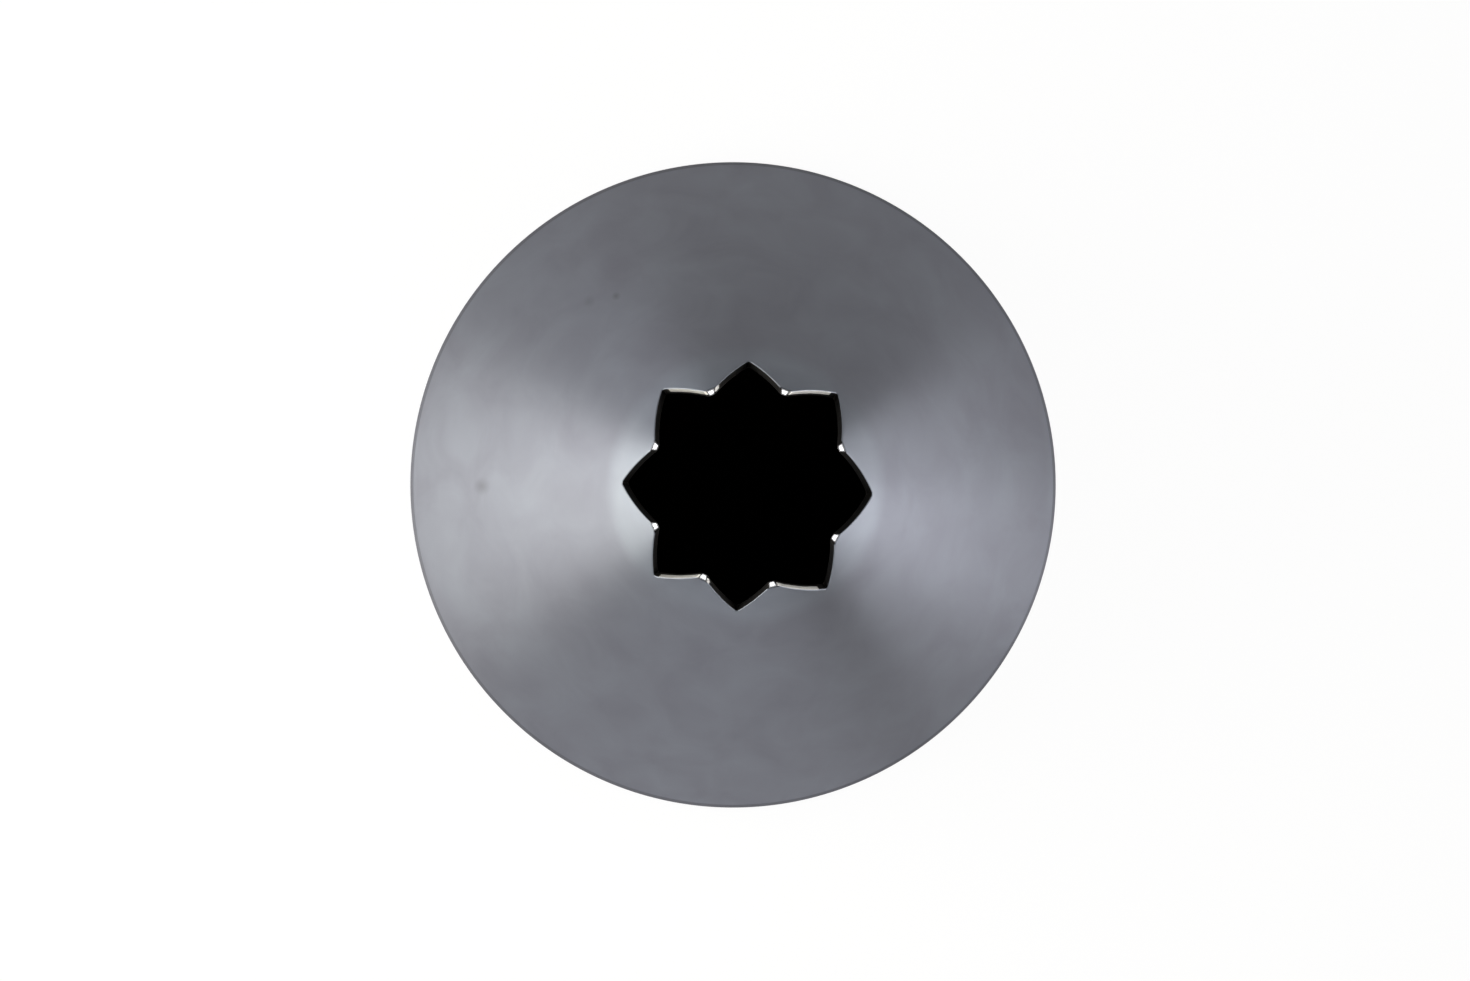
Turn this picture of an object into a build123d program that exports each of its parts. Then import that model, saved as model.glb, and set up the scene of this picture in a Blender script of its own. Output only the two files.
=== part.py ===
from build123d import *
import os
from math import asin, cos, degrees, radians, sin, tan

# Open-star piping nozzle, one piece of thin stainless sheet.
# A straight cone stands on its wide rim and narrows to a short nose, where the wall turns in a
# little more. The tip is cut off square, and eight notches ground into it leave eight short
# teeth, so the mouth reads as an eight-pointed star from above. The rim is folded inwards into
# a closed hem, and the underside of the fold is dressed flat.
# Frame: origin at the middle of the rim on the table, +Z up along the cone to the star mouth,
# and +X through the even place of the first notch. Lengths are millimetres, angles are degrees.

# Driving dimensions of the cone and its nose
HEIGHT = 50.0
RIM_RADIUS = 17.0  # outside of the fold
MOUTH_RADIUS = 4.3  # inside of the wall at the tooth ends
WALL = 0.3  # sheet thickness
NOSE_HEIGHT = 5.5  # stretch below the tip where the wall turns in
NOSE_TURN = 9.2  # how much more the wall leans in at the tip than on the cone
TIP_EDGE_RADIUS = 0.05  # deburred edges of the tooth ends

# Driving dimensions of the hem at the rim
HEM_LENGTH = 1.8  # inner leaf, from the middle of the fold to its rounded edge
HEM_GAP = 0.1  # between the leaf and the wall
RIM_FLAT_DEPTH = 0.05  # what dressing takes off the underside of the fold

# Driving dimensions of the star
TEETH = 8
TOOTH_FLAT = 0.3  # width of a tooth's end on the inside
NOTCH_DEPTH = 3.0  # to the sharp root, before it is rounded
NOTCH_ROOT_RADIUS = 0.08
CUT_OVERRUN = 1.0  # how far every cutter runs past the metal

# The notches are ground by hand, so each root and tooth stands a little off its even place, and
# every other notch went deeper. The shares are of the pitch and of the depth, one for each notch
# and for the tooth that follows it, anticlockwise.
ROOT_OFF_SHARES = (-0.015, 0.075, 0.045, -0.025, 0.025, 0.04, -0.045, -0.09)
TOOTH_OFF_SHARES = (0.06, 0.09, 0.04, 0.05, 0.08, -0.02, -0.13, -0.12)
DEPTH_OFF_SHARES = (-0.07, 0.13, -0.1, 0.07, -0.1, 0.1, -0.08, 0.15)

PITCH = 360 / TEETH

# The fold goes round a centre just inside the wall, and the rim is set out from that centre
GAP_RADIUS = HEM_GAP / 2
FOLD_RADIUS = GAP_RADIUS + WALL
FOLD_R = RIM_RADIUS - FOLD_RADIUS
FOLD_Z = FOLD_RADIUS - RIM_FLAT_DEPTH


def mouth_if(lean):
    """Inside radius that the tip would have if the cone leant in by this angle."""
    cone_rise = HEIGHT - NOSE_HEIGHT - FOLD_Z
    cone_top = FOLD_R + GAP_RADIUS / cos(radians(lean)) - cone_rise * tan(radians(lean))
    return cone_top - NOSE_HEIGHT * tan(radians(lean + NOSE_TURN / 2))


def cone_lean():
    """Angle of the cone's wall to the axis that brings the nose in to the mouth's radius.

    The span between a low and a high angle is halved until no angle is left between them.
    """
    low, high = NOSE_TURN - 90, 90 - NOSE_TURN
    middle = (low + high) / 2
    while low < middle < high:
        if mouth_if(middle) > MOUTH_RADIUS:
            low = middle
        else:
            high = middle
        middle = (low + high) / 2
    return middle


# The nose is an arc tangent to the cone, given by its centre and its radius to the inside
LEAN = cone_lean()
TIP_LEAN = LEAN + NOSE_TURN
NOSE_ARC = NOSE_HEIGHT / (sin(radians(TIP_LEAN)) - sin(radians(LEAN)))
NOSE_R = MOUTH_RADIUS - NOSE_ARC * cos(radians(TIP_LEAN))
NOSE_Z = HEIGHT - NOSE_ARC * sin(radians(TIP_LEAN))


def about(centre_r, centre_z, radius, angle):
    """Point of the wall's section at a radius and angle from a centre, as (r, z)."""
    return centre_r + radius * cos(radians(angle)), centre_z + radius * sin(radians(angle))


def turn(centre_r, centre_z, radius, start, end):
    """Arc of the wall's section about a centre, from one angle to another."""
    angles = (start, (start + end) / 2, end)
    return ThreePointArc(*[about(centre_r, centre_z, radius, angle) for angle in angles])


def on_leaf(inwards, up):
    """Point of the hem's leaf, this far in from the fold's centre and this far up the cone."""
    r, z = about(FOLD_R, FOLD_Z, inwards, LEAN - 180)
    return r - up * sin(radians(LEAN)), z + up * cos(radians(LEAN))


def leaf_edge():
    """Half-round edge of the hem's leaf, from its wall side over to its open side."""
    shoulder = HEM_LENGTH - WALL / 2
    crown = on_leaf(GAP_RADIUS + WALL / 2, HEM_LENGTH)
    return ThreePointArc(on_leaf(GAP_RADIUS, shoulder), crown, on_leaf(FOLD_RADIUS, shoulder))


def wall_section():
    """Half section of the wall, round from the dressed rim up to the tip and down to the hem."""
    flat_angle = degrees(asin(FOLD_Z / FOLD_RADIUS))
    outer_tip_angle = degrees(asin((HEIGHT - NOSE_Z) / (NOSE_ARC + WALL)))
    turns = [
        turn(FOLD_R, FOLD_Z, FOLD_RADIUS, -flat_angle, LEAN),
        turn(NOSE_R, NOSE_Z, NOSE_ARC + WALL, LEAN, outer_tip_angle),
        turn(NOSE_R, NOSE_Z, NOSE_ARC, TIP_LEAN, LEAN),
        turn(FOLD_R, FOLD_Z, GAP_RADIUS, LEAN, LEAN - 180),
        leaf_edge(),
        turn(FOLD_R, FOLD_Z, FOLD_RADIUS, LEAN - 180, flat_angle - 180),
    ]
    following = turns[1:] + turns[:1]
    straights = [Line(last @ 1, first @ 0) for last, first in zip(turns, following)]
    section = make_face(turns + straights)
    tip_corners = section.vertices().sort_by(Axis.Y)[-2:]
    return fillet(tip_corners, TIP_EDGE_RADIUS)


def root_angle(index):
    """Azimuth of a notch's root."""
    return PITCH * (index + ROOT_OFF_SHARES[index % len(ROOT_OFF_SHARES)])


def tooth_angle(index):
    """Azimuth of the middle of the tooth that follows the notch of the same number."""
    return PITCH * (index + 1 / 2 + TOOTH_OFF_SHARES[index % len(TOOTH_OFF_SHARES)])


def notch_cutter(index):
    """Wheel's cut for one notch, running out from the axis through the wall."""
    here = root_angle(index)
    half_flat = degrees(TOOTH_FLAT / 2 / MOUTH_RADIUS)
    to_next = MOUTH_RADIUS * sin(radians(tooth_angle(index) - here - half_flat))
    to_last = MOUTH_RADIUS * sin(radians(here - tooth_angle(index - 1) - half_flat))
    depth = NOTCH_DEPTH * (1 + DEPTH_OFF_SHARES[index % len(DEPTH_OFF_SHARES)])
    over = HEIGHT + CUT_OVERRUN
    corners = [(-to_last, HEIGHT), (-to_last, over), (to_next, over), (to_next, HEIGHT)]
    outline = make_face(Polyline((0, HEIGHT - depth), *corners, close=True))
    root = outline.vertices().sort_by(Axis.Y)[0]
    outline = fillet(root, NOTCH_ROOT_RADIUS)
    outwards = Vector(cos(radians(here)), sin(radians(here)), 0)
    along_wall = Vector(-sin(radians(here)), cos(radians(here)), 0)
    facing = Plane(origin=(0, 0, 0), x_dir=along_wall, z_dir=outwards)
    return extrude(facing * outline, RIM_RADIUS + CUT_OVERRUN)


def nozzle_shell():
    """The nozzle itself: the wall turned about the axis, less its notches."""
    shell = revolve(Plane.XZ * wall_section(), Axis.Z)
    for index in range(TEETH):
        shell -= notch_cutter(index)
    return shell


os.makedirs("parts", exist_ok=True)
export_step(nozzle_shell(), "parts/nozzle_shell.step")
print(f"cone leans {LEAN:.2f} degrees, tip leans {TIP_LEAN:.2f} degrees")
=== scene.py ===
"""Open-star piping nozzle of turned stainless sheet, seen from straight above its star mouth.

One sheet of steel makes the whole object: a cone that stands on its folded rim, a short nose and
eight ground teeth. A node tree turns the wall's section about the axis and opens the notches.
Sizes are real millimetres, made metres where a mesh or a node takes them.
"""

import logging
from dataclasses import dataclass
from enum import Enum
from math import asin, cos, degrees, pi, radians, sin, tan
from typing import Any, Iterator, Union

import bpy
from mathutils import Matrix, Vector

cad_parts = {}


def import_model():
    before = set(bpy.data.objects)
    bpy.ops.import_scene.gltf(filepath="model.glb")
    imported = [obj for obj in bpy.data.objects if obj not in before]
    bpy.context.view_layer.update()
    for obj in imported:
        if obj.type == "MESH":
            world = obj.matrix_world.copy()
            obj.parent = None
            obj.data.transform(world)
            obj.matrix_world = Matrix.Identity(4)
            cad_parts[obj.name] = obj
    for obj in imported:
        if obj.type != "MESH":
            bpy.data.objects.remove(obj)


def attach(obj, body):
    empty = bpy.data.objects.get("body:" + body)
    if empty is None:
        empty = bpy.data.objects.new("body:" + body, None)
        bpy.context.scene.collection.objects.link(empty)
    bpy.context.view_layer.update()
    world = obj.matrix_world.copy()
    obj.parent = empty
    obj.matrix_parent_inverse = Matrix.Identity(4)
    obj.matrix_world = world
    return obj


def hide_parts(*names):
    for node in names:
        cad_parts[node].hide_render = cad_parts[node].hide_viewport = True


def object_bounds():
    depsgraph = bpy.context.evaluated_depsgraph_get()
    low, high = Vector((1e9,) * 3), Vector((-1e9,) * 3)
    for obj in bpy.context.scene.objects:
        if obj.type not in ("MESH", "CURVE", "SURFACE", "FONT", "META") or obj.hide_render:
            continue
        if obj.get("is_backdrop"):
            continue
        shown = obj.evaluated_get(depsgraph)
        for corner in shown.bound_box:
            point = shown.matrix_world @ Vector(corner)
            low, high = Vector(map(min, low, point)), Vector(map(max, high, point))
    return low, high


MM = 0.001
NODE = "nozzle_shell"
BODY = "root"

# Wear, as a share of the way from a finish's colour to its worn colour
CLOUD_WEAR = 0.75  # what the soft patches add
UNWORN = 0.33  # what is taken off again, so that the surface is bare of wear between them
FLAT_BEND = 0.55  # pointiness of a surface that bends too little to catch on things
NOSE_HIGHLIGHT_FROM = 44.6 * MM  # height at which the painted highlight round the mouth starts
NOSE_HIGHLIGHT_FADE = 2.4 * MM

# Shares across the sheet, from its outside to its inside, that tell its faces apart
OUTER_CORNER = 0.15  # the broken corner on the outside lies below this
INNER_CORNER = 0.7  # and the one on the inside above this
INSIDE = 0.999

# A Mix node's sockets, which go by number because their names repeat
SHARE, VECTOR_A, VECTOR_B, COLOUR_A, COLOUR_B = 0, 4, 5, 6, 7
MIXED_VECTOR, MIXED_COLOUR = 1, 2

log = logging.getLogger("nozzle")


def linear(hex_colour: str) -> tuple[float, float, float, float]:
    """Turns an sRGB hex colour into the linear colour that a shader takes.

    Args:
        hex_colour: Six hex digits after a hash sign.

    Returns:
        Red, green, blue and an alpha of one.
    """
    shares = [int(hex_colour[i : i + 2], 16) / 255 for i in (1, 3, 5)]
    parts = [s / 12.92 if s <= 0.04045 else ((s + 0.055) / 1.055) ** 2.4 for s in shares]
    return parts[0], parts[1], parts[2], 1.0


def add_node(tree: bpy.types.NodeTree, kind: str, inputs: dict, **settings: Any) -> bpy.types.Node:
    """Adds a node with its settings and links.

    Args:
        tree: The tree that the node goes into.
        kind: The node's type name.
        inputs: What each input takes, by its name or number: a socket to link, or a plain value.
        **settings: The node's own settings, by name.

    Returns:
        The new node.
    """
    node = tree.nodes.new(kind)
    for name, value in settings.items():
        setattr(node, name, value)
    for key, value in inputs.items():
        source = value.socket if isinstance(value, Number) else value
        if isinstance(source, bpy.types.NodeSocket):
            tree.links.new(source, node.inputs[key])
        else:
            node.inputs[key].default_value = source
    return node


def empty_material(name: str) -> bpy.types.Material:
    """Makes a material whose node tree has no nodes yet."""
    made = bpy.data.materials.new(name)
    made.use_nodes = True
    made.node_tree.nodes.clear()
    return made


def put_in_scene(name: str, data: bpy.types.ID) -> bpy.types.Object:
    """Puts a mesh, a lamp or a camera into the scene."""
    made = bpy.data.objects.new(name, data)
    bpy.context.scene.collection.objects.link(made)
    return made


class Number:
    """A number that a node tree works out, so that its sums read as plain sums."""

    def __init__(self, tree: bpy.types.NodeTree, socket: bpy.types.NodeSocket) -> None:
        """Keeps the tree and the socket that the number comes from."""
        self.tree = tree
        self.socket = socket

    def to(self, operation: str, *others: Union["Number", float]) -> "Number":
        """Takes the number through one math node.

        Args:
            operation: The math node's operation.
            *others: The node's further numbers.

        Returns:
            What the node gives.
        """
        inputs = dict(enumerate((self, *others)))
        node = add_node(self.tree, "ShaderNodeMath", inputs, operation=operation)
        return Number(self.tree, node.outputs[0])

    def __add__(self, other: Union["Number", float]) -> "Number":
        """Adds."""
        return self.to("ADD", other)

    def __sub__(self, other: Union["Number", float]) -> "Number":
        """Takes away."""
        return self.to("SUBTRACT", other)

    def __mul__(self, other: Union["Number", float]) -> "Number":
        """Multiplies."""
        return self.to("MULTIPLY", other)

    def __truediv__(self, other: Union["Number", float]) -> "Number":
        """Divides."""
        return self.to("DIVIDE", other)

    def __mod__(self, other: Union["Number", float]) -> "Number":
        """Gives what is left over, never below zero."""
        return self.to("FLOORED_MODULO", other)

    def toward(self, other: "Number", share: "Number") -> "Number":
        """Gives the number that lies a share of the way to another."""
        return self + (other - self) * share


@dataclass(frozen=True)
class Station:
    """One point of the wall's section, and what the notches do to it."""

    r: float
    z: float
    across: float = 0.0  # from 0 on the sheet's outside to 1 on its inside
    rise: float = 0.0  # from 0 where the nose starts to 1 at the cut edge
    drop: float = 0.0  # below the cut edge


@dataclass(frozen=True)
class Stain:
    """A small dull spot that a drop of water left, and that ran a little way down the cone."""

    azimuth: float  # round the axis from +X, in degrees
    out: float  # from the axis
    radius: float
    strength: float
    colour: str = "#4C4B50"

    def over(self, tree: bpy.types.NodeTree, place: bpy.types.NodeSocket,
             colour: bpy.types.NodeSocket) -> bpy.types.NodeSocket:
        """Draws the stain over a colour, as a round spot when it is seen from above.

        Args:
            tree: The material's tree.
            place: Where a point of the surface is.
            colour: What the surface shows without the stain.

        Returns:
            The colour with the stain in it.
        """
        around = radians(self.azimuth)
        middle = (cos(around) * self.out * MM, sin(around) * self.out * MM, 0)
        flat = add_node(tree, "ShaderNodeVectorMath", {0: place, 1: (1, 1, 0)}, operation="MULTIPLY")
        away = add_node(tree, "ShaderNodeVectorMath", {0: flat.outputs[0], 1: middle},
                        operation="DISTANCE")
        share = (Number(tree, away.outputs["Value"]) / (-self.radius * MM) + 1).to("MAXIMUM", 0.0)
        colours = {SHARE: share * self.strength, COLOUR_A: colour, COLOUR_B: linear(self.colour)}
        return add_node(tree, "ShaderNodeMix", colours, data_type="RGBA").outputs[MIXED_COLOUR]


@dataclass(frozen=True)
class SheetSteel:
    """A surface of the stainless sheet, the common 18/10 grade, told by how it was worked or by the shade
    or highlight painted on it.
    """

    name: str
    colour: str
    wear_and_highlight_colour: str  # where patches, marks, or an edge that catches on things, are worn brighter, and where a painted highlight lightens the mouth
    roughness: float
    grain: tuple[float, float, float]  # how long the marks of the tool are along X, Y and Z
    grain_depth: float
    uneven: float = 0.08  # how much the roughness changes over the marks
    cloud: tuple[float, float, float] = (3.0, 3.0, 12.0)  # how long the soft patches are
    grain_wear: float = 0.6  # how much brighter wear has made the marks' crests
    nose_highlight: float = 0.0  # how much a painted highlight lightens it round the mouth
    edge_wear: float = 4.0  # how much brighter wear has made its edges
    stains: tuple[Stain, ...] = ()
    anisotropy: float = 0.0
    gloss_turn: float = 0.25  # sets the gloss's long way across the grain, as share of a turn

    def patterns(self, tree: bpy.types.NodeTree,
                 place: bpy.types.NodeSocket) -> tuple[Number, Number]:
        """Draws what varies over the surface.

        Args:
            tree: The material's tree.
            place: Where a point of the surface is.

        Returns:
            The marks of the tool and the soft patches, both about 0.5.
        """
        drawn = []
        for lengths, distortion in ((self.grain, 0.0), (self.cloud, 0.6)):
            shares = tuple(1 / (length * MM) for length in lengths)
            scaled = add_node(tree, "ShaderNodeVectorMath", {0: place, 1: shares}, operation="MULTIPLY")
            noise = {"Vector": scaled.outputs[0], "Scale": 1.0, "Detail": 3.0, "Roughness": 0.6,
                     "Distortion": distortion}
            drawn.append(Number(tree, add_node(tree, "ShaderNodeTexNoise", noise).outputs["Fac"]))
        marks, clouds = drawn
        return marks, clouds

    def wear_and_highlight_share(self, tree: bpy.types.NodeTree, place: bpy.types.NodeSocket,
                   marks: Number, clouds: Number) -> Number:
        """Works out how worn the surface is, and how much painted highlight it has round the mouth.

        Args:
            tree: The material's tree.
            place: Where a point of the surface is.
            marks: The marks of the tool.
            clouds: The soft patches.

        Returns:
            How much of the way the surface's colour is to its colour of wear and painted highlight.
        """
        bend = Number(tree, add_node(tree, "ShaderNodeNewGeometry", {}).outputs["Pointiness"])
        edges = ((bend - FLAT_BEND) * self.edge_wear).to("MAXIMUM", 0.0)
        level = Number(tree, add_node(tree, "ShaderNodeSeparateXYZ", {0: place}).outputs["Z"])
        near_mouth = ((level - NOSE_HIGHLIGHT_FROM) / NOSE_HIGHLIGHT_FADE).to("MAXIMUM", 0.0).to("MINIMUM", 1.0)
        worn = marks * self.grain_wear + clouds * CLOUD_WEAR - UNWORN + edges
        # near_mouth lightens the colour round the mouth: a painted highlight, not wear
        return (worn + near_mouth * self.nose_highlight).to("MAXIMUM", 0.0).to("MINIMUM", 1.0)

    def material(self) -> bpy.types.Material:
        """Makes the material.

        Returns:
            The new material.
        """
        made = empty_material(self.name)
        tree = made.node_tree
        place = add_node(tree, "ShaderNodeTexCoord", {}).outputs["Object"]
        marks, clouds = self.patterns(tree, place)
        colours = {
            SHARE: self.wear_and_highlight_share(tree, place, marks, clouds),
            COLOUR_A: linear(self.colour),
            COLOUR_B: linear(self.wear_and_highlight_colour),
        }
        colour = add_node(tree, "ShaderNodeMix", colours, data_type="RGBA").outputs[MIXED_COLOUR]
        for stain in self.stains:
            colour = stain.over(tree, place, colour)
        bump = {"Height": marks, "Distance": self.grain_depth * MM, "Strength": 0.5}
        inputs: dict = {
            "Base Color": colour,
            "Metallic": 1.0,
            "Roughness": (marks - 0.5) * self.uneven + self.roughness,
            "Normal": add_node(tree, "ShaderNodeBump", bump).outputs[0],
        }
        if self.anisotropy:
            tangent = add_node(tree, "ShaderNodeTangent", {}, direction_type="RADIAL", axis="Z")
            inputs["Tangent"] = tangent.outputs["Tangent"]
            inputs["Anisotropic"] = self.anisotropy
            inputs["Anisotropic Rotation"] = self.gloss_turn
        shader = add_node(tree, "ShaderNodeBsdfPrincipled", inputs)
        add_node(tree, "ShaderNodeOutputMaterial", {"Surface": shader.outputs["BSDF"]})
        return made


class Finish(Enum):
    """The ways in which the sheet's surface was worked, and where shade or highlight is painted on it.

    The marks of the tools are finer than a picture of the whole nozzle shows, so they are drawn
    two to five times as coarse as they are.
    """

    # Turned against a fine abrasive, so its gloss spreads up and down the cone, across the rings; lighter
    # round the mouth as a painted highlight
    TURNED = SheetSteel("turned_stainless", "#6C6D77", "#8A9099", roughness=0.45, anisotropy=0.95,
                        grain=(90.0, 90.0, 0.5), grain_depth=0.003, uneven=0.06,
                        grain_wear=0.3, nose_highlight=0.4, edge_wear=0.0,
                        stains=(Stain(126, out=10.95, radius=0.25, strength=0.7),
                                Stain(132, out=11.6, radius=0.35, strength=0.35),
                                Stain(183, out=12.7, radius=0.5, strength=0.5)))
    # The band along the rim's fold, rougher, and coloured darker as painted shade along the rim
    FOLD_SHADE = SheetSteel("fold_painted_shade", "#595A62", "#696A73", roughness=0.5, anisotropy=0.9,
                      grain=(90.0, 90.0, 0.5), grain_depth=0.004, uneven=0.12)
    # Cut by the edge of a coarse wheel, and coloured near black as painted shade, so the notches stay
    # dark
    SHADED_CUT = SheetSteel("cut_painted_shade", "#151516", "#282624", roughness=0.6, uneven=0.2,
                        grain=(0.8, 0.8, 0.15), grain_depth=0.02, cloud=(1.5, 1.5, 1.5))
    # Sides of some notches, picked by where they stand round the mouth, coloured bright as a painted
    # highlight
    HIGHLIT_SIDES = SheetSteel("side_painted_highlight", "#B4B3B0", "#E0DFDC", roughness=0.55, uneven=0.1,
                        grain=(0.8, 0.8, 0.15), grain_depth=0.01, cloud=(1.0, 1.0, 1.0))
    # The tooth ends where they face straight up, coloured bright as a painted highlight
    END_HIGHLIT = SheetSteel("end_painted_highlight", "#CFCFD1", "#E4E4E6", roughness=0.25,
                         grain=(0.05, 0.8, 0.8), grain_depth=0.001, cloud=(0.5, 0.5, 0.5))
    # As the press left it, a little duller, with faint streaks up and down the way it was drawn
    DRAWN = SheetSteel("drawn_stainless", "#737378", "#808086", roughness=0.45, uneven=0.15,
                       grain=(0.5, 0.5, 12.0), grain_depth=0.004)


def even_steps(count: int) -> Iterator[float]:
    """Gives the shares of a stretch at which its equal steps end.

    Args:
        count: How many steps the stretch has.

    Yields:
        Each share, the last one being one.
    """
    for step in range(1, count + 1):
        yield step / count


@dataclass
class StarNozzle:
    """The nozzle, one piece of sheet: cone, nose, toothed mouth and folded rim."""

    height: float
    rim_radius: float
    mouth_radius: float = 4.3
    wall: float = 0.3
    nose_height: float = 5.5
    nose_turn: float = radians(9.2)
    edge_radius: float = 0.05
    hem_length: float = 1.8
    hem_gap: float = 0.1
    rim_flat_depth: float = 0.05
    fold_shade_length: float = 0.8  # how far up the cone the painted shade along the fold reaches
    teeth: int = 8
    tooth_flat: float = 0.3
    tooth_rounding: float = 0.12
    notch_depth: float = 3.0
    root_radius: float = 0.08
    root_off_shares: tuple[float, ...] = (-0.015, 0.075, 0.045, -0.025, 0.025, 0.04, -0.045, -0.09)
    tooth_off_shares: tuple[float, ...] = (0.06, 0.09, 0.04, 0.05, 0.08, -0.02, -0.13, -0.12)
    depth_off_shares: tuple[float, ...] = (-0.07, 0.13, -0.1, 0.07, -0.1, 0.1, -0.08, 0.15)
    columns_per_notch: int = 88
    flat_share: float = 8 / 44  # of a notch's columns, those that lie along the tooth's end
    edge_crowding: float = 1.5  # how much the nose's rows crowd up to the cut edge
    smooth_below: float = radians(35)
    fold_steps: int = 8
    cone_steps: int = 14
    nose_steps: int = 24
    corner_steps: int = 4
    cut_steps: int = 3
    inner_nose_steps: int = 20
    inner_cone_steps: int = 12
    gap_steps: int = 6
    leaf_steps: int = 3
    leaf_edge_steps: int = 7
    leaf_face_steps: int = 4
    merge_within: float = 0.0001
    end_share: float = 0.5  # of the tooth's rounding, down to which its end is painted bright as a highlight
    end_facing: float = 0.97  # least Z of the normal of a face painted bright as a highlight
    highlit_share: float = 0.95  # of the notches' depth, down to which their sides are painted bright as a highlight
    highlit_slants: tuple[float, float] = (1.12, 2.9)  # Y over X of the places painted bright as a highlight

    def fold_radius(self) -> float:
        """Gives the outer radius of the rim's fold."""
        return self.hem_gap / 2 + self.wall

    def fold_centre(self) -> tuple[float, float]:
        """Gives the middle of the fold, as radius and height."""
        return self.rim_radius - self.fold_radius(), self.fold_radius() - self.rim_flat_depth

    def mouth_if(self, lean: float) -> float:
        """Gives the mouth's inside radius if the cone leant in by this angle."""
        fold_r, fold_z = self.fold_centre()
        rise = self.height - self.nose_height - fold_z
        cone_top = fold_r + self.hem_gap / 2 / cos(lean) - rise * tan(lean)
        return cone_top - self.nose_height * tan(lean + self.nose_turn / 2)

    def lean(self) -> float:
        """Finds the cone's angle to the axis, halving a span until no angle is left in it."""
        low, high = self.nose_turn - pi / 2, pi / 2 - self.nose_turn
        middle = (low + high) / 2
        while low < middle < high:
            if self.mouth_if(middle) > self.mouth_radius:
                low = middle
            else:
                high = middle
            middle = (low + high) / 2
        return middle

    def nose(self) -> tuple[float, float, float]:
        """Gives the nose's inside arc: its centre's radius and height, and its own radius."""
        lean = self.lean()
        tip_lean = lean + self.nose_turn
        arc = self.nose_height / (sin(tip_lean) - sin(lean))
        return self.mouth_radius - arc * cos(tip_lean), self.height - arc * sin(tip_lean), arc

    def on_fold(self, radius: float, angle: float, up: float = 0.0) -> tuple[float, float]:
        """Gives a point round the fold's middle, or of the leaf that stands on the fold.

        Args:
            radius: How far it is from the middle.
            angle: The direction from the middle.
            up: How far it is then moved up along the cone.

        Returns:
            Its radius and height.
        """
        fold_r, fold_z = self.fold_centre()
        r = fold_r + radius * cos(angle) - up * sin(self.lean())
        return r, fold_z + radius * sin(angle) + up * cos(self.lean())

    def fold_shade_end(self) -> tuple[float, float]:
        """Gives the point of the outside up to which the painted shade along the fold reaches."""
        return self.on_fold(self.fold_radius(), self.lean(), self.fold_shade_length)

    def nose_foot(self, arc: float) -> tuple[float, float]:
        """Gives the point where a nose arc of this radius leaves the cone."""
        nose_r, nose_z, _ = self.nose()
        return nose_r + arc * cos(self.lean()), nose_z + arc * sin(self.lean())

    def straight(self, start: tuple[float, float], end: tuple[float, float], across: float,
                 count: int) -> Iterator[Station]:
        """Steps along one straight side of the cone or of the hem's leaf.

        Args:
            start: Where the stretch starts, itself left out.
            end: Where it ends.
            across: Which side of the sheet it is.
            count: How many steps it has.

        Yields:
            The stations.
        """
        for share in even_steps(count):
            r = start[0] + (end[0] - start[0]) * share
            yield Station(r, start[1] + (end[1] - start[1]) * share, across)

    def outside(self) -> Iterator[Station]:
        """Steps up the sheet's outside, from the rim's flat to the cut edge."""
        lean, fold = self.lean(), self.fold_radius()
        flat_angle = asin(self.fold_centre()[1] / fold)
        for share in (0.0, *even_steps(self.fold_steps)):
            yield Station(*self.on_fold(fold, -flat_angle + (lean + flat_angle) * share))
        arc = self.nose()[2] + self.wall
        yield from self.straight(self.on_fold(fold, lean), self.fold_shade_end(), 0.0, 1)
        yield from self.straight(self.fold_shade_end(), self.nose_foot(arc), 0.0, self.cone_steps)
        for share in even_steps(self.nose_steps):
            rise = 1 - (1 - share) ** self.edge_crowding
            yield Station(*self.nose_foot(arc), 0.0, rise, self.edge_radius)

    def tip(self) -> Iterator[Station]:
        """Steps over the cut edge: a broken corner, the cut face and the other broken corner."""
        corner = self.edge_radius / self.wall
        foot = self.nose_foot(self.nose()[2])
        for share in even_steps(self.corner_steps):
            swing = share * pi / 2
            yield Station(*foot, corner * (1 - cos(swing)), 1.0, self.edge_radius * (1 - sin(swing)))
        for share in even_steps(self.cut_steps):
            yield Station(*foot, corner + (1 - 2 * corner) * share, 1.0)
        for share in even_steps(self.corner_steps):
            swing = share * pi / 2
            drop = self.edge_radius * (1 - cos(swing))
            yield Station(*foot, 1 - corner * (1 - sin(swing)), 1.0, drop)

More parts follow.
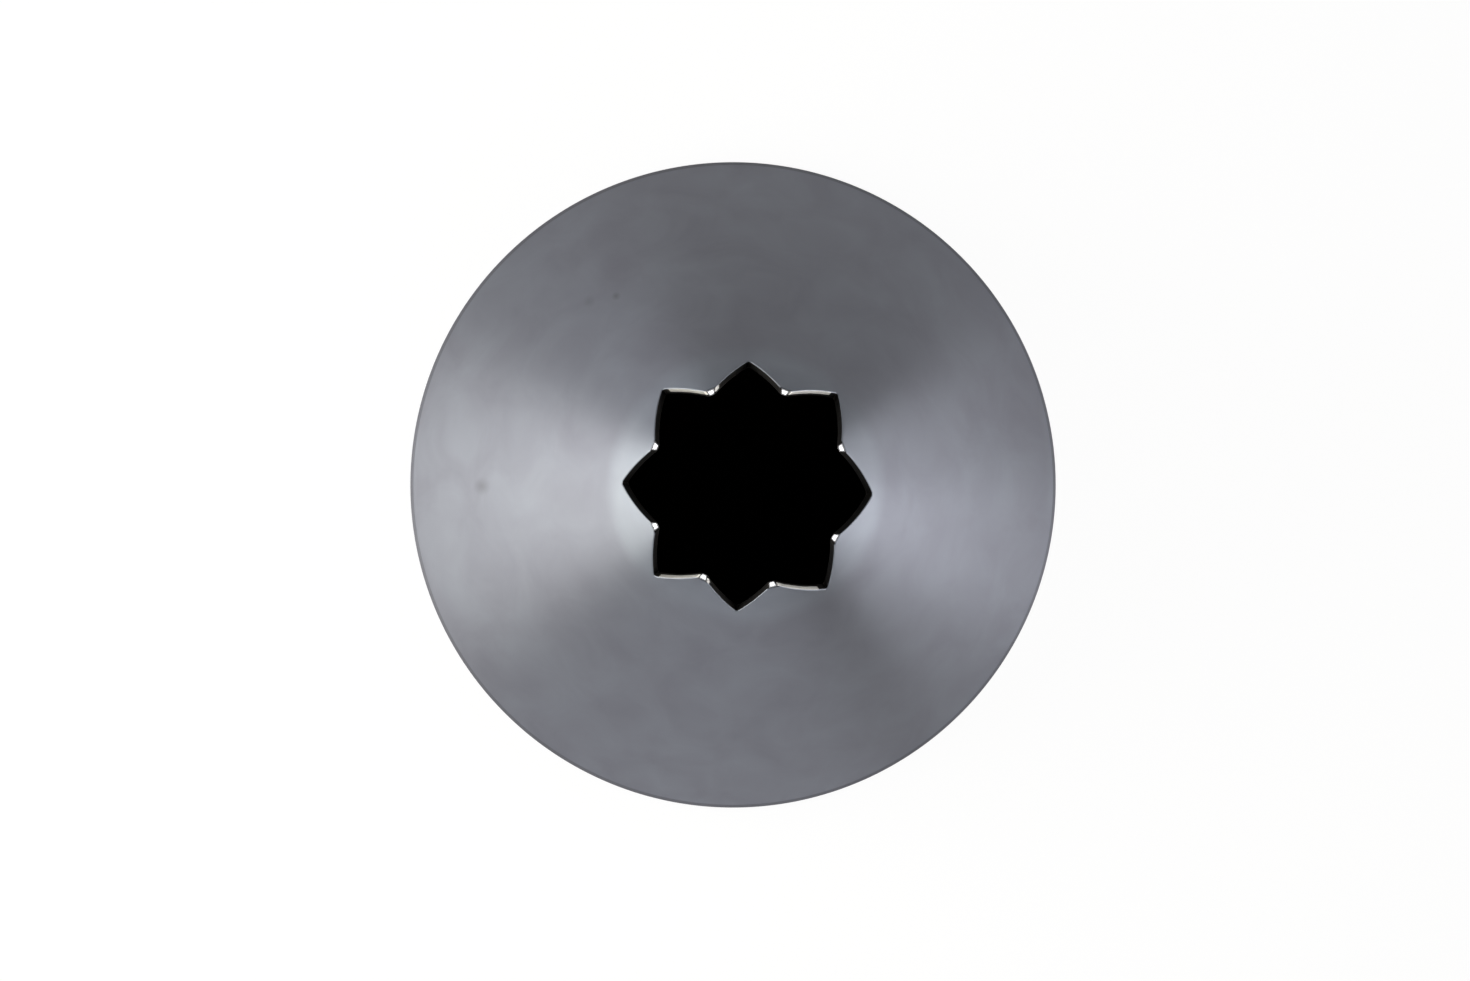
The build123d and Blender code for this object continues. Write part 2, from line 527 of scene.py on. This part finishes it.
    def inside(self) -> Iterator[Station]:
        """Steps down the sheet's inside, round the hem's leaf and back to the rim's flat."""
        lean, gap, fold, arc = self.lean(), self.hem_gap / 2, self.fold_radius(), self.nose()[2]
        shoulder = self.hem_length - self.wall / 2
        for share in even_steps(self.inner_nose_steps):
            rise = 1 - share**self.edge_crowding
            yield Station(*self.nose_foot(arc), 1.0, rise, self.edge_radius)
        cone_foot = self.on_fold(gap, lean)
        yield from self.straight(self.nose_foot(arc), cone_foot, 1.0, self.inner_cone_steps)
        for share in even_steps(self.gap_steps):
            yield Station(*self.on_fold(gap, lean - pi * share), 1.0)
        leaf_foot, leaf_top = self.on_fold(gap, lean - pi), self.on_fold(gap, lean - pi, shoulder)
        yield from self.straight(leaf_foot, leaf_top, 1.0, self.leaf_steps)
        middle = self.on_fold(gap + self.wall / 2, lean - pi, shoulder)
        for share in even_steps(self.leaf_edge_steps):
            swing = lean + pi * share
            r = middle[0] + self.wall / 2 * cos(swing)
            yield Station(r, middle[1] + self.wall / 2 * sin(swing), 1 - share)
        face_top, face_foot = self.on_fold(fold, lean - pi, shoulder), self.on_fold(fold, lean - pi)
        yield from self.straight(face_top, face_foot, 0.0, self.leaf_face_steps)
        flat_angle = asin(self.fold_centre()[1] / fold)
        for share in even_steps(self.fold_steps):
            yield Station(*self.on_fold(fold, lean - pi + (flat_angle - lean) * share))

    def section(self) -> bpy.types.Object:
        """Draws the section as points in a row, each with what the notches do to it.

        Returns:
            An object whose mesh has one vertex for each station.
        """
        stations = [*self.outside(), *self.tip(), *self.inside()]
        mesh = bpy.data.meshes.new("section")
        mesh.from_pydata([(s.r * MM, 0, s.z * MM) for s in stations], [], [])
        notching = mesh.attributes.new("notching", "FLOAT_VECTOR", "POINT")
        for row, s in zip(notching.data, stations):
            row.vector = (s.across, s.rise, s.drop * MM)
        return put_in_scene("section", mesh)

    def sizes(self) -> dict[str, float]:
        """Gives what the tree's inputs take, by name, with lengths in metres."""
        nose_r, nose_z, arc = self.nose()
        return {
            "Teeth": float(self.teeth),
            "Columns per notch": float(self.columns_per_notch),
            "Height": self.height * MM,
            "Mouth radius": self.mouth_radius * MM,
            "Wall": self.wall * MM,
            "Cone lean": self.lean(),
            "Nose centre radius": nose_r * MM,
            "Nose centre height": nose_z * MM,
            "Nose arc": arc * MM,
            "Notch depth": self.notch_depth * MM,
            "Root radius": self.root_radius * MM,
            "Tooth flat": self.tooth_flat * MM,
            "Tooth rounding": self.tooth_rounding * MM,
        }

    def build(self) -> bpy.types.Object:
        """Turns the section into the finished mesh, hangs it on the body and hides the model's own piece.

        Returns:
            The nozzle's object, at the origin and with no modifier left on it.
        """
        section = self.section()
        tree = TurningTree(self).build()
        turning = section.modifiers.new("turning", "NODES")
        turning.node_group = tree
        for item in tree.interface.items_tree:
            if item.name in self.sizes():
                turning[item.identifier] = self.sizes()[item.name]
        bpy.context.view_layer.update()
        seen = section.evaluated_get(bpy.context.evaluated_depsgraph_get())
        mesh = bpy.data.meshes.new_from_object(seen)
        mesh.name = "turned_nozzle"
        mesh.materials.pop(index=0)  # the empty slot that the grid came with
        bpy.data.objects.remove(section)
        made = put_in_scene("turned_nozzle", mesh)
        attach(made, BODY)
        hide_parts(NODE)
        return made


@dataclass
class Sheet:
    """The closed sheet of faces before it is bent, with what each point has from its station."""

    faces: bpy.types.NodeSocket
    around: Number  # share of the way round the axis
    r: Number
    z: Number
    across: Number
    rise: Number
    drop: Number


@dataclass
class Column:
    """Where a column of the sheet stands, and how far it is along its side of a notch."""

    even: Number  # its azimuth below the nose, where the columns stand evenly
    root: Number  # azimuth of its notch's root
    tooth: Number  # azimuth of the tooth that it lies towards
    side: Number  # minus one before the root and one past it
    along: Number  # from 0 in the root to 1 at the tooth's corner
    on_end: Number  # from 0 at the tooth's corner to 1 in the middle of its end
    depth: Number  # of its notch


@dataclass
class CutEdge:
    """The cut edge of the wall where a column ends."""

    sideways: Number  # from the root, as the wheel cut it
    level: Number
    stretch: Number  # how much further down its broken corners reach where it is steep


class TurningTree:
    """The node tree that turns the section about the axis and opens the notches.

    Every notch takes its own columns of a closed sheet of faces. A column near a notch ends at
    the notch's side, with the same sideways place on both walls, because the wheel cut straight
    outwards from the axis.
    """

    def __init__(self, nozzle: StarNozzle) -> None:
        """Makes the tree with nothing in it but an input for the section and for each size.

        Args:
            nozzle: What the tree is for.
        """
        self.nozzle = nozzle
        self.tree = bpy.data.node_groups.new("turn_and_notch", "GeometryNodeTree")
        sockets = self.tree.interface
        sockets.new_socket("Section", in_out="INPUT", socket_type="NodeSocketGeometry")
        for name in nozzle.sizes():
            sockets.new_socket(name, in_out="INPUT", socket_type="NodeSocketFloat")
        sockets.new_socket("Nozzle", in_out="OUTPUT", socket_type="NodeSocketGeometry")
        given = add_node(self.tree, "NodeGroupInput", {}).outputs
        self.section = given["Section"]
        self.size = {name: Number(self.tree, given[name]) for name in nozzle.sizes()}
        self.place = add_node(self.tree, "GeometryNodeInputPosition", {}).outputs[0]

    def parts(self, vector: bpy.types.NodeSocket) -> tuple[Number, Number, Number]:
        """Takes a vector apart into its X, Y and Z."""
        split = add_node(self.tree, "ShaderNodeSeparateXYZ", {0: vector}).outputs
        return Number(self.tree, split["X"]), Number(self.tree, split["Y"]), Number(self.tree, split["Z"])

    def around_axis(self, r: Number, azimuth: Number, z: Number) -> bpy.types.NodeSocket:
        """Gives the point at a radius, an azimuth and a height."""
        parts = {"X": r * azimuth.to("COSINE"), "Y": r * azimuth.to("SINE"), "Z": z}
        return add_node(self.tree, "ShaderNodeCombineXYZ", parts).outputs[0]

    def offset(self, shares: tuple[float, ...], place: Number) -> Number:
        """Looks up how far a root or tooth stands off its even place.

        Args:
            shares: The offsets, as shares of the pitch.
            place: Which one is wanted, counted round and round.

        Returns:
            Its offset.
        """
        look_up = add_node(self.tree, "GeometryNodeIndexSwitch", {}, data_type="FLOAT")
        while len(look_up.index_switch_items) < self.nozzle.teeth:
            look_up.index_switch_items.new()
        self.tree.links.new((place % self.nozzle.teeth).socket, look_up.inputs["Index"])
        for index in range(self.nozzle.teeth):
            look_up.inputs[index + 1].default_value = shares[index % len(shares)]
        return Number(self.tree, look_up.outputs["Output"])

    def sheet(self) -> Sheet:
        """Makes the closed sheet of faces, with one row for each station.

        Returns:
            The sheet, still a flat grid whose rows have looked up their stations.
        """
        stations = add_node(self.tree, "GeometryNodeAttributeDomainSize", {0: self.section},
                            component="MESH")
        rows = Number(self.tree, stations.outputs["Point Count"])
        columns = self.size["Teeth"] * self.size["Columns per notch"]
        edges = {"Size X": 1.0, "Size Y": 1.0, "Vertices X": columns + 1, "Vertices Y": rows + 1}
        grid = add_node(self.tree, "GeometryNodeMeshGrid", edges)
        x, y, _ = self.parts(self.place)
        row = ((y + 0.5) * rows).to("ROUND") % rows
        held = add_node(self.tree, "GeometryNodeInputNamedAttribute", {"Name": "notching"},
                        data_type="FLOAT_VECTOR")
        sampled = []
        for source in (self.place, held.outputs["Attribute"]):
            wanted = {"Geometry": self.section, "Value": source, "Index": row}
            sample = add_node(self.tree, "GeometryNodeSampleIndex", wanted, data_type="FLOAT_VECTOR")
            sampled.append(self.parts(sample.outputs[0]))
        (r, _, z), (across, rise, drop) = sampled
        return Sheet(grid.outputs["Mesh"], x + 0.5, r, z, across, rise, drop)

    def column(self, around: Number) -> Column:
        """Works out which notch a column belongs to, and how far it is from root to tooth.

        Args:
            around: The column's share of the way round the axis.

        Returns:
            Where it stands.
        """
        nozzle, pitch = self.nozzle, 2 * pi / self.nozzle.teeth
        count = around * self.size["Teeth"]
        notch = count.to("FLOOR")
        within = count - notch
        past_root = within.to("GREATER_THAN", 0.5)
        spread = (within * 2 - 1).to("ABSOLUTE")
        side_share = 1 - nozzle.flat_share
        on_side = (spread / side_share).to("MINIMUM", 1.0)
        tooth = notch + past_root - 1
        return Column(
            even=(count - 0.5) * pitch,
            root=(notch + self.offset(nozzle.root_off_shares, notch)) * pitch,
            tooth=(tooth + self.offset(nozzle.tooth_off_shares, tooth) + 0.5) * pitch,
            side=past_root * 2 - 1,
            along=on_side * on_side * (on_side * -2 + 3),
            on_end=((spread - side_share) / nozzle.flat_share).to("MAXIMUM", 0.0),
            depth=self.size["Notch depth"] * (self.offset(nozzle.depth_off_shares, notch) + 1),
        )

    def cut_edge(self, column: Column) -> CutEdge:
        """Follows the notch's side, rounded in its root and over the tooth's corner.

        Args:
            column: Where the column stands.

        Returns:
            The cut edge where that column ends.
        """
        size = self.size
        half_flat = size["Tooth flat"] / 2
        flat_angle = half_flat / size["Mouth radius"]
        to_corner = (column.tooth - column.root) * column.side - flat_angle
        corner = size["Mouth radius"] * to_corner.to("SINE")
        slope = column.depth / corner
        steepness = (slope * slope + 1).to("SQRT")
        sideways = corner * column.along
        radius, rounding = size["Root radius"], size["Tooth rounding"]
        into_root = sideways.to("MINIMUM", radius * slope / steepness)
        root_height = (radius * radius - into_root * into_root).to("SQRT")
        root_lift = radius * steepness - root_height - slope * into_root
        rounding_start = corner + rounding * (steepness - 1) / slope
        before = (rounding_start - sideways - half_flat * column.on_end).to("MAXIMUM", 0.0)
        turned = before.to("MINIMUM", rounding * slope / steepness)
        crown = (rounding * rounding - turned * turned).to("SQRT")
        level = size["Height"] - rounding + crown - slope * (before - turned) + root_lift
        return CutEdge(sideways, level, (radius / root_height).to("MINIMUM", rounding / crown))

    def nose_wall(self, arc: Number, sheet: Sheet, column: Column,
                  edge: CutEdge) -> bpy.types.NodeSocket:
        """Bends the columns along one wall of the nose, so that each ends at the cut edge.

        Args:
            arc: The wall's own radius.
            sheet: What the points have from their stations.
            column: Where their column stands.
            edge: Where it ends.

        Returns:
            Where each point goes on that wall.
        """
        nose_r, nose_z = self.size["Nose centre radius"], self.size["Nose centre height"]
        edge_angle = ((edge.level - sheet.drop * edge.stretch - nose_z) / arc).to("ARCSINE")
        edge_r = nose_r + arc * edge_angle.to("COSINE")
        at_side = column.root + (edge.sideways / edge_r).to("ARCSINE") * column.side
        at_edge = at_side.toward(column.tooth, column.on_end)
        angle = self.size["Cone lean"].toward(edge_angle, sheet.rise)
        azimuth = column.even.toward(at_edge, sheet.rise)
        r = nose_r + arc * angle.to("COSINE")
        return self.around_axis(r, azimuth, nose_z + arc * angle.to("SINE"))

    def spot(self, sheet: Sheet) -> bpy.types.NodeSocket:
        """Finds where each point of the sheet goes.

        Args:
            sheet: The flat sheet.

        Returns:
            The place on the cone, the fold and the leaf as the station has it, and on the nose
            as far between its two walls as the station lies across the sheet.
        """
        column = self.column(sheet.around)
        edge = self.cut_edge(column)
        arc = self.size["Nose arc"]
        outer = self.nose_wall(arc + self.size["Wall"], sheet, column, edge)
        inner = self.nose_wall(arc, sheet, column, edge)
        walls = {SHARE: sheet.across, VECTOR_A: outer, VECTOR_B: inner}
        nose = add_node(self.tree, "ShaderNodeMix", walls, data_type="VECTOR").outputs[MIXED_VECTOR]
        cone = self.around_axis(sheet.r, column.even, sheet.z)
        choice = {"Switch": sheet.rise.to("GREATER_THAN", 0.0), "False": cone, "True": nose}
        return add_node(self.tree, "GeometryNodeSwitch", choice, input_type="VECTOR").outputs[0]

    def shell(self, sheet: Sheet) -> bpy.types.NodeSocket:
        """Bends the sheet to shape, closes it and smooths all but its sharp edges.

        Args:
            sheet: The flat sheet.

        Returns:
            The shell, each of its faces with the side of the sheet that it lies on.
        """
        kept = add_node(self.tree, "GeometryNodeStoreNamedAttribute",
                        {"Geometry": sheet.faces, "Name": "across", "Value": sheet.across},
                        data_type="FLOAT", domain="FACE")
        shaped = add_node(self.tree, "GeometryNodeSetPosition",
                          {"Geometry": kept.outputs[0], "Position": self.spot(sheet)})
        closed = add_node(self.tree, "GeometryNodeMergeByDistance",
                          {"Geometry": shaped.outputs[0], "Distance": self.nozzle.merge_within * MM})
        smooth = add_node(self.tree, "GeometryNodeSetShadeSmooth",
                          {"Geometry": closed.outputs[0], "Shade Smooth": True}, domain="FACE")
        turn = add_node(self.tree, "GeometryNodeInputMeshEdgeAngle", {}).outputs["Unsigned Angle"]
        sharp = Number(self.tree, turn).to("GREATER_THAN", self.nozzle.smooth_below)
        split = {"Geometry": smooth.outputs[0], "Selection": sharp, "Shade Smooth": False}
        return add_node(self.tree, "GeometryNodeSetShadeSmooth", split, domain="EDGE").outputs[0]

    def finished_faces(self) -> dict[Finish, Number]:
        """Picks the faces of each finish, where a later finish goes over an earlier one.

        Returns:
            What tells each finish's faces, in their order.
        """
        nozzle, height = self.nozzle, self.size["Height"]
        held = add_node(self.tree, "GeometryNodeInputNamedAttribute", {"Name": "across"},
                        data_type="FLOAT")
        sheet_side = Number(self.tree, held.outputs["Attribute"])
        turned = sheet_side.to("LESS_THAN", OUTER_CORNER)
        cut = sheet_side.to("LESS_THAN", INSIDE)
        middle = sheet_side.to("LESS_THAN", INNER_CORNER) * (turned * -1 + 1)
        x, y, level = self.parts(self.place)
        normal = add_node(self.tree, "GeometryNodeInputNormal", {}).outputs[0]
        _, _, facing_up = self.parts(normal)
        on_end = level.to("GREATER_THAN", height - self.size["Tooth rounding"] * nozzle.end_share)
        on_end = on_end * facing_up.to("GREATER_THAN", nozzle.end_facing)
        highlit_depth = self.size["Notch depth"] * nozzle.highlit_share
        on_notch = level.to("GREATER_THAN", height - highlit_depth)
        slant = y.to("ABSOLUTE") / x.to("ABSOLUTE")
        least, most = nozzle.highlit_slants
        on_slant = slant.to("GREATER_THAN", least) * slant.to("LESS_THAN", most)
        # The cut faces get painted shade, and so does the band along the rim; some notch sides and the
        # tooth ends get painted highlights
        return {
            Finish.DRAWN: sheet_side.to("GREATER_THAN", INSIDE),
            Finish.SHADED_CUT: cut,
            Finish.TURNED: turned,
            Finish.FOLD_SHADE: turned * level.to("LESS_THAN", nozzle.fold_shade_end()[1] * MM),
            Finish.HIGHLIT_SIDES: middle * on_notch * on_slant,
            Finish.END_HIGHLIT: cut * on_end,
        }

    def build(self) -> bpy.types.NodeTree:
        """Fills the tree.

        Returns:
            The tree, which ends in plain faces with their finishes.
        """
        shell = self.shell(self.sheet())
        last = add_node(self.tree, "GeometryNodeRealizeInstances", {"Geometry": shell}).outputs[0]
        for finish, faces in self.finished_faces().items():
            inputs = {"Geometry": last, "Selection": faces, "Material": finish.value.material()}
            last = add_node(self.tree, "GeometryNodeSetMaterial", inputs).outputs[0]
        add_node(self.tree, "NodeGroupOutput", {"Nozzle": last})
        return self.tree


@dataclass
class Stage:
    """The plain floor with its low wall, the black card under the mouth that paints the shade inside it,
    and the faint world.
    """

    floor_radius: float = 3000.0
    floor_below: float = 0.02
    backdrop_height: float = 450.0  # of the wall, which only a low view sees
    floor_colour: str = "#F4F4F4"
    floor_glow_share: float = 0.95  # how much of its white is there for the eye alone
    mirrored_glow_share: float = 0.6  # and how much is there for the steel to mirror
    # A black card inside the rim that paints the shade in the nozzle's mouth
    shade_card_colour: str = "#050505"
    shade_card_radius: float = 14.0
    shade_card_above: float = 0.05
    world_strength: float = 0.06
    sides: int = 128

    def disc(self, name: str, radius: float, z: float, material: bpy.types.Material,
             wall: float = 0.0) -> None:
        """Lays a flat disc on the stage, with a wall round it if it has one.

        Args:
            name: Its name.
            radius: Its radius in millimetres.
            z: Its height in millimetres.
            material: What it is covered with.
            wall: How high the wall is.
        """
        mesh = bpy.data.meshes.new(name)
        sides = self.sides
        turns = [2 * pi * side / sides for side in range(sides)]
        levels = (z, z + wall) if wall else (z,)
        corners = [(radius * MM * cos(t), radius * MM * sin(t), up * MM) for up in levels for t in turns]
        faces = [list(range(sides))]
        if wall:
            following = [*range(1, sides), 0]
            faces += [(n, side, side + sides, n + sides) for side, n in enumerate(following)]
        mesh.from_pydata(corners, [], faces)
        mesh.materials.append(material)
        put_in_scene(name, mesh)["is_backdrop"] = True

    def floor_material(self) -> bpy.types.Material:
        """Makes matt white paper, whose white also shows straight to the eye and in metal.

        Returns:
            The new material.
        """
        made = empty_material("white_paper")
        tree = made.node_tree
        paper = add_node(tree, "ShaderNodeBsdfDiffuse", {"Color": linear(self.floor_colour)})
        glow = add_node(tree, "ShaderNodeEmission", {"Strength": 1.0})
        ray = add_node(tree, "ShaderNodeLightPath", {}).outputs
        through = Number(tree, ray["Is Transmission Ray"])
        mirrored = Number(tree, ray["Is Glossy Ray"]).to("MAXIMUM", through)
        share = Number(tree, ray["Is Camera Ray"]) * self.floor_glow_share
        share = share.to("MAXIMUM", mirrored * self.mirrored_glow_share)
        mixed = add_node(tree, "ShaderNodeMixShader", {0: share, 1: paper.outputs[0], 2: glow.outputs[0]})
        add_node(tree, "ShaderNodeOutputMaterial", {"Surface": mixed.outputs[0]})
        return made

    def shade_card_material(self) -> bpy.types.Material:
        """Makes the matt black card that lies inside the rim, painted shade for the nozzle's mouth."""
        made = empty_material("painted_shade_black_card")
        card = add_node(made.node_tree, "ShaderNodeBsdfDiffuse", {"Color": linear(self.shade_card_colour)})
        add_node(made.node_tree, "ShaderNodeOutputMaterial", {"Surface": card.outputs[0]})
        return made

    def build(self) -> None:
        """Lays the stage and lights it."""
        paper = self.floor_material()
        self.disc("floor", self.floor_radius, -self.floor_below, paper, self.backdrop_height)
        self.disc("painted_shade_card", self.shade_card_radius, self.shade_card_above, self.shade_card_material())
        world = bpy.data.worlds.new("studio")
        world.use_nodes = True
        bpy.context.scene.world = world
        backdrop = world.node_tree.nodes["Background"]
        backdrop.inputs["Color"].default_value = (1, 1, 1, 1)
        backdrop.inputs["Strength"].default_value = self.world_strength


@dataclass(frozen=True)
class SoftBox:
    """An oval soft box that faces the nozzle."""

    name: str
    azimuth: float  # round the axis from +X, in degrees
    distance: float  # from the axis
    level: float  # height of its middle above the floor
    width: float
    height: float
    radiance: float  # where a white wall in plain light is 1
    colour: str = "#FFFFFF"
    aim_level: float = 25.0

    def build(self) -> None:
        """Hangs the box and turns its face to the nozzle's middle."""
        lamp = bpy.data.lights.new(self.name, "AREA")
        lamp.shape = "ELLIPSE"
        lamp.size = self.width * MM
        lamp.size_y = self.height * MM
        lamp.energy = self.radiance * pi * pi / 4 * self.width * self.height * MM * MM
        lamp.color = linear(self.colour)[:3]
        made = put_in_scene(self.name, lamp)
        around = radians(self.azimuth)
        away = Vector((cos(around), sin(around), 0)) * self.distance
        made.location = (away + Vector((0, 0, self.level))) * MM
        out = made.location - Vector((0, 0, self.aim_level)) * MM
        made.rotation_euler = out.to_track_quat("Z", "Y").to_euler()
        made.visible_camera = False


SOFT_BOXES = (
    SoftBox("left_box", 187, distance=85, level=70, width=100, height=84, radiance=7.5,
            colour="#FFFCF0"),
    SoftBox("right_box", 355, distance=42, level=52, width=66, height=26, radiance=5.2,
            colour="#FFFDFA"),
    SoftBox("right_wall", 349, distance=400, level=45, width=230, height=100, radiance=5.2,
            colour="#FFFDFA"),
    SoftBox("front_wall", 260, distance=400, level=45, width=800, height=110, radiance=3.0),
    SoftBox("back_card", 148, distance=42, level=62, width=54, height=26, radiance=2.3),
    SoftBox("top_box", 90, distance=1, level=700, width=130, height=130, radiance=6.0),
)


@dataclass
class Camera:
    """A long lens that looks down on the mouth from a little to one side of the axis."""

    lens: float = 144.0
    sensor: float = 36.0
    nearest: float = 1.0
    farthest: float = 10000.0
    height: float = 310.0
    over_x: float = -4.08
    over_y: float = 0.21
    aim_x: float = 0.11
    aim_y: float = -0.29
    roll: float = radians(2.8)

    def build(self) -> None:
        """Places the camera and makes it the scene's own."""
        data = bpy.data.cameras.new("camera")
        data.lens = self.lens
        data.sensor_width = self.sensor
        data.clip_start = self.nearest * MM
        data.clip_end = self.farthest * MM
        made = put_in_scene("camera", data)
        eye = Vector((self.over_x, self.over_y, self.height)) * MM
        aim = Vector((self.aim_x, self.aim_y, 0)) * MM
        ahead = (aim - eye).normalized()
        right = ahead.cross(Vector((-sin(self.roll), cos(self.roll), 0))).normalized()
        up = right.cross(ahead)
        turned = Matrix((right, up, -ahead)).transposed().to_4x4()
        made.matrix_world = Matrix.Translation(eye) @ turned
        bpy.context.scene.camera = made


def main() -> None:
    """Builds the nozzle, its stage and its camera."""
    logging.basicConfig(level=logging.INFO, format="%(name)s: %(message)s")
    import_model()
    cad_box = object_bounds()
    nozzle = StarNozzle(height=cad_box[1].z / MM, rim_radius=cad_box[1].x / MM)
    piece = nozzle.build()
    log.info("%s: %d faces, cone leans %.2f degrees", piece.name, len(piece.data.polygons),
             degrees(nozzle.lean()))
    Stage().build()
    for box in SOFT_BOXES:
        box.build()
    Camera().build()
    bpy.context.scene.view_settings.view_transform = "Standard"


if __name__ == "__main__":
    main()
